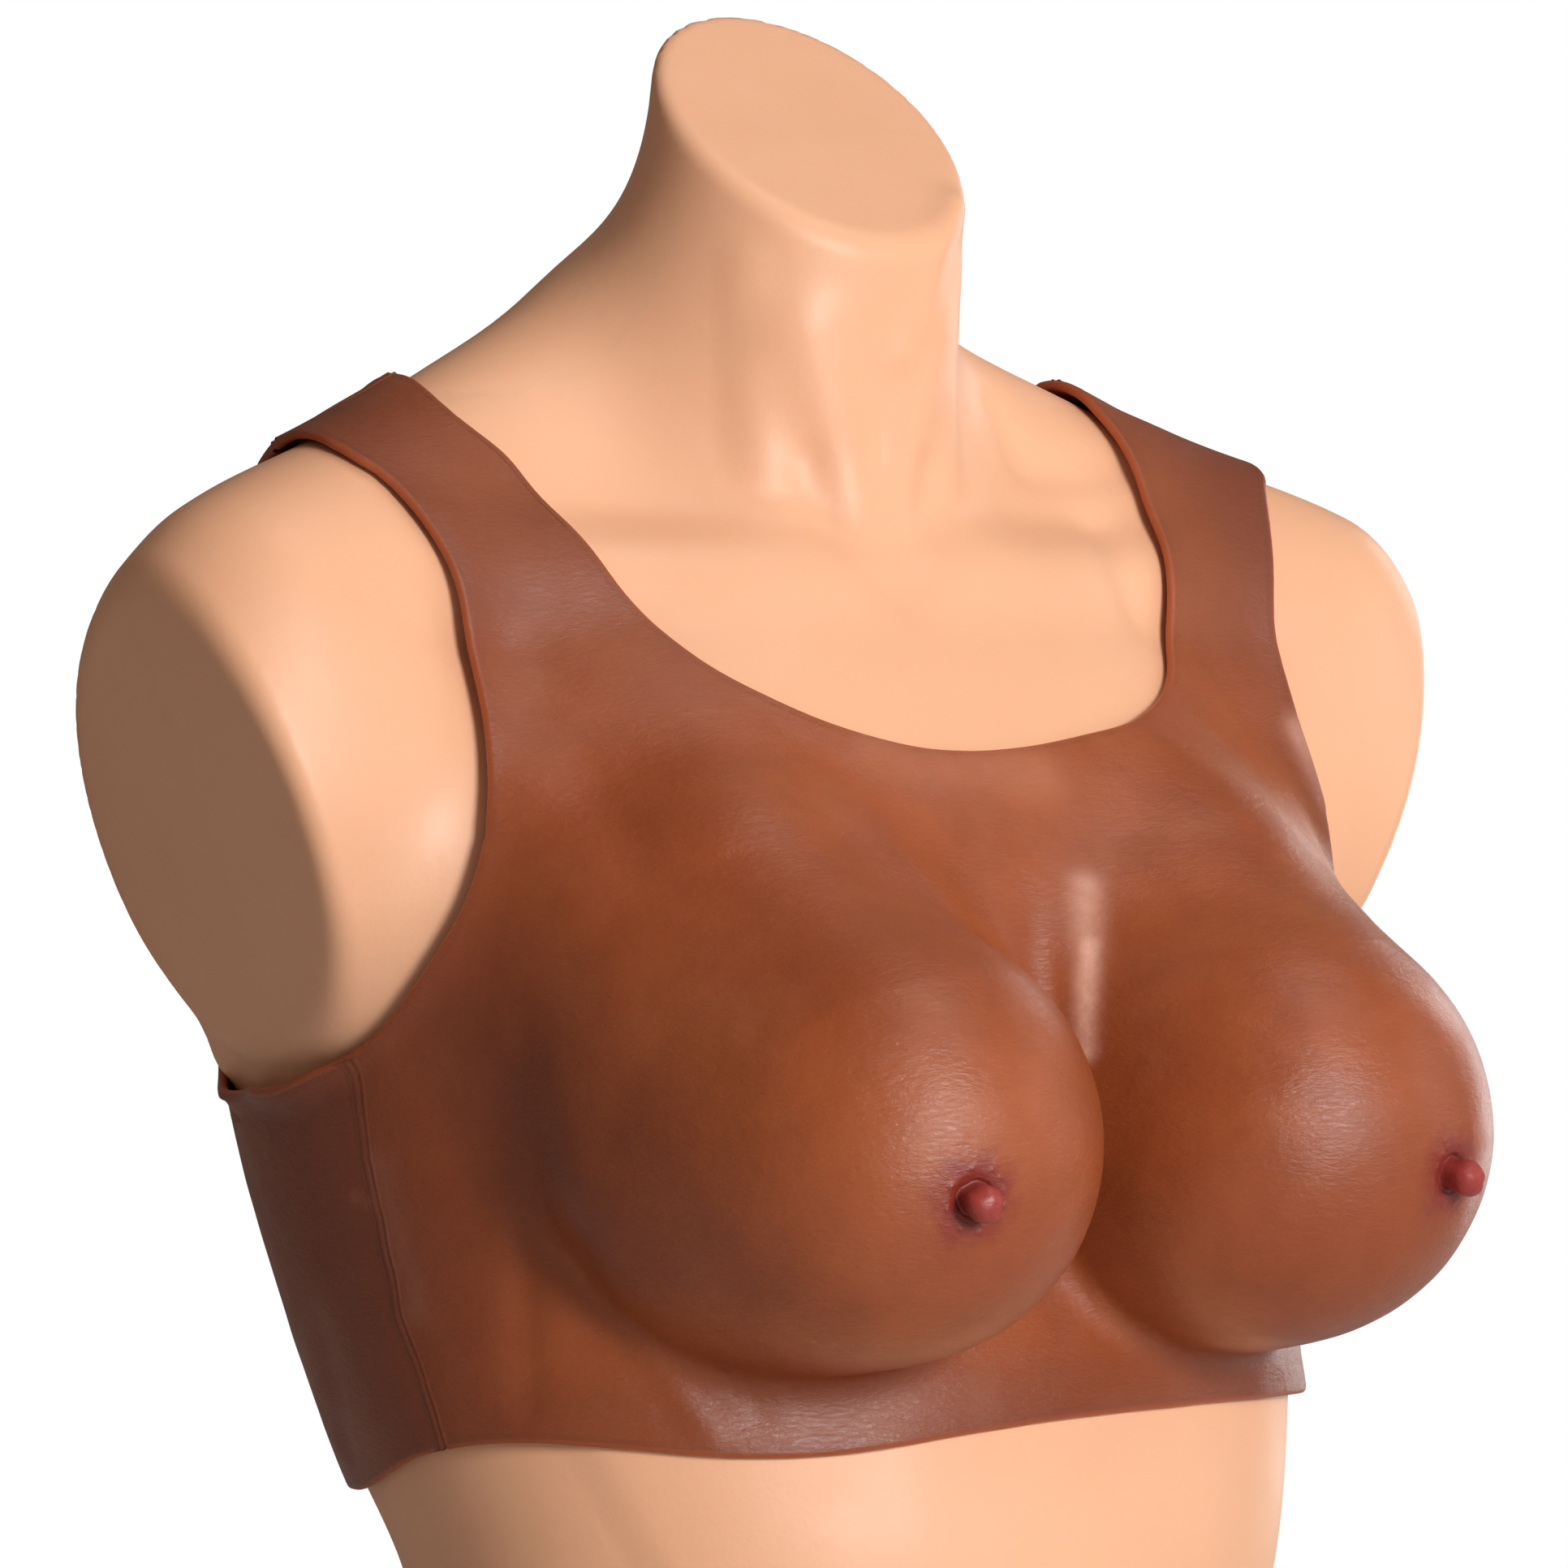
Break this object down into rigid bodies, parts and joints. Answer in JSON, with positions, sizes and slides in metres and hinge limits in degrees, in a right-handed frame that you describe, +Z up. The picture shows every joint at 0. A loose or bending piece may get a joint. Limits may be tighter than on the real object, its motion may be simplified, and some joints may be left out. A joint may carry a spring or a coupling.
{
  "type": "display torso with breast form vest",
  "caption": "Female half-body display torso with flat neck and arm faces, wearing a sleeveless silicone breast-form vest; hollow base with a clamped socket for a stand pole.",
  "frame": {"origin": "on the plane of the bottom rim, at the middle of the overall width and depth", "axes": "+Z up, the chest faces -Y, the torso's left side is at +X"},
  "size_m": [0.4053, 0.3141, 0.556],
  "materials": {
    "torso_plastic": "satin, light orange-peel texture",
    "silicone": "soft matt silicone with a waxy sheen",
    "nipple_silicone": "pigmented soft silicone",
    "gel": "soft clear-tinted gel",
    "board": "raw fibreboard",
    "steel": "zinc plated",
    "black_plastic": "moulded",
    "brass": "turned"
  },
  "bodies": {
    "torso": {"torso_front_shell": "torso_plastic", "torso_back_shell": "torso_plastic", "base_plate": "board", "base_screw_1": "steel", "base_screw_2": "steel", "base_screw_3": "steel", "base_screw_4": "steel", "stand_flange": "steel", "flange_screw_1": "steel", "flange_screw_2": "steel", "flange_screw_3": "steel", "flange_screw_4": "steel", "vest_front_panel": "silicone", "vest_back_panel": "silicone", "side_seam_left": "silicone", "side_seam_right": "silicone", "shoulder_seam_left": "silicone", "shoulder_seam_right": "silicone", "gel_fill_left": "gel", "gel_fill_right": "gel", "gel_backing_left": "silicone", "gel_backing_right": "silicone", "nipple_left": "nipple_silicone", "nipple_right": "nipple_silicone"},
    "clamp_pad": {"clamp_pad": "brass"},
    "clamp_screw": {"clamp_stud": "steel", "clamp_knob": "black_plastic"}
  },
  "joints": [
    {"name": "pad_slide", "type": "slide", "parent": "torso", "child": "clamp_pad", "axis": [0, -1, 0], "range_m": [0, 0.004]},
    {"name": "screw_turn", "type": "hinge", "parent": "clamp_pad", "child": "clamp_screw", "pos_m": [0, 0.037, 0.022], "axis": [0, -1, 0], "range_deg": [0, 1150]}
  ],
  "couplings": [
    {"joint": "pad_slide", "follows": "screw_turn", "m_per_rad": 0.00019894}
  ]
}
